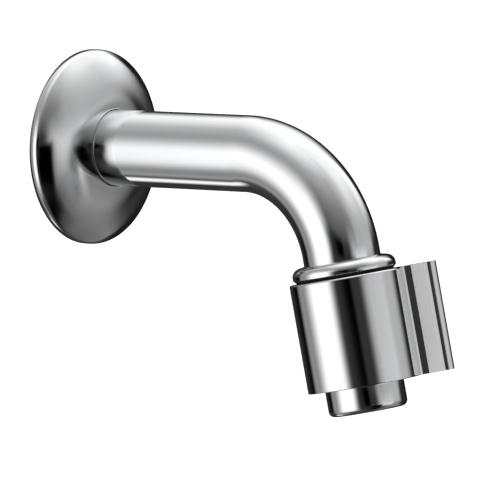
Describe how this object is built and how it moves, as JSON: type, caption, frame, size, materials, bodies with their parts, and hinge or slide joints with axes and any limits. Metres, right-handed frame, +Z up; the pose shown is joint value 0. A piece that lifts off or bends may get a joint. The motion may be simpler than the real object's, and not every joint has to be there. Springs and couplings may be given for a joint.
{
  "type": "bib tap",
  "caption": "Wall-mounted bib tap: round wall flange, bent round spout, and a turning sleeve handle with a wing above a nozzle that holds an aerator.",
  "frame": {"origin": "on the inlet axis, in the plane of the wall, where the inlet thread ends", "axes": "+Y along the inlet thread into the wall, -Y out into the room, +Z up, +X to the right of someone facing the wall"},
  "size_m": [0.0616, 0.1392, 0.111],
  "materials": {
    "chrome_flange": "mirror-polished chrome plate on brass",
    "chrome_pipe": "mirror-polished chrome plate on brass",
    "chrome_collar": "mirror-polished chrome plate on brass",
    "chrome_handle": "mirror-polished chrome plate on brass",
    "chrome_nozzle": "mirror-polished chrome plate on brass",
    "brass": "machined, bare",
    "grey_rubber": "matt foam rubber",
    "black_rubber": "matt",
    "stainless": "bright stainless steel",
    "ceramic": "lapped white ceramic",
    "white_plastic": "slippery white plastic",
    "grey_plastic": "moulded grey plastic"
  },
  "bodies": {
    "spout": {"spout_pipe": "chrome_pipe", "inlet_nipple": "brass", "inlet_strainer": "stainless", "strainer_washer": "black_rubber", "outlet_collar": "chrome_collar", "valve_body": "brass", "upper_glide_ring": "white_plastic", "lower_glide_ring": "white_plastic", "disc_seal": "black_rubber", "fixed_disc": "ceramic", "retaining_ring": "stainless", "stop_pin": "stainless"},
    "flange": {"wall_flange": "chrome_flange", "flange_gasket": "grey_rubber", "flange_grip_ring": "black_rubber"},
    "handle": {"handle_sleeve": "chrome_handle", "nozzle_ring": "chrome_nozzle", "drive_spindle": "brass", "upper_spindle_o_ring": "black_rubber", "lower_spindle_o_ring": "black_rubber", "nozzle_washer": "black_rubber", "upper_screen": "stainless", "lower_screen": "stainless", "moving_disc": "ceramic", "thrust_washer": "white_plastic", "aerator_body": "grey_plastic", "flow_plate": "grey_plastic", "screen_spacer": "grey_plastic"}
  },
  "joints": [
    {"name": "handle_turn", "type": "hinge", "parent": "spout", "child": "handle", "pos_m": [0, -0.09736, -0.02933], "axis": [0, -0.1736, -0.9848], "range_deg": [0, 90]},
    {"name": "flange_slide", "type": "slide", "parent": "spout", "child": "flange", "axis": [0, -1, 0], "range_m": [0, 0.05]}
  ]
}
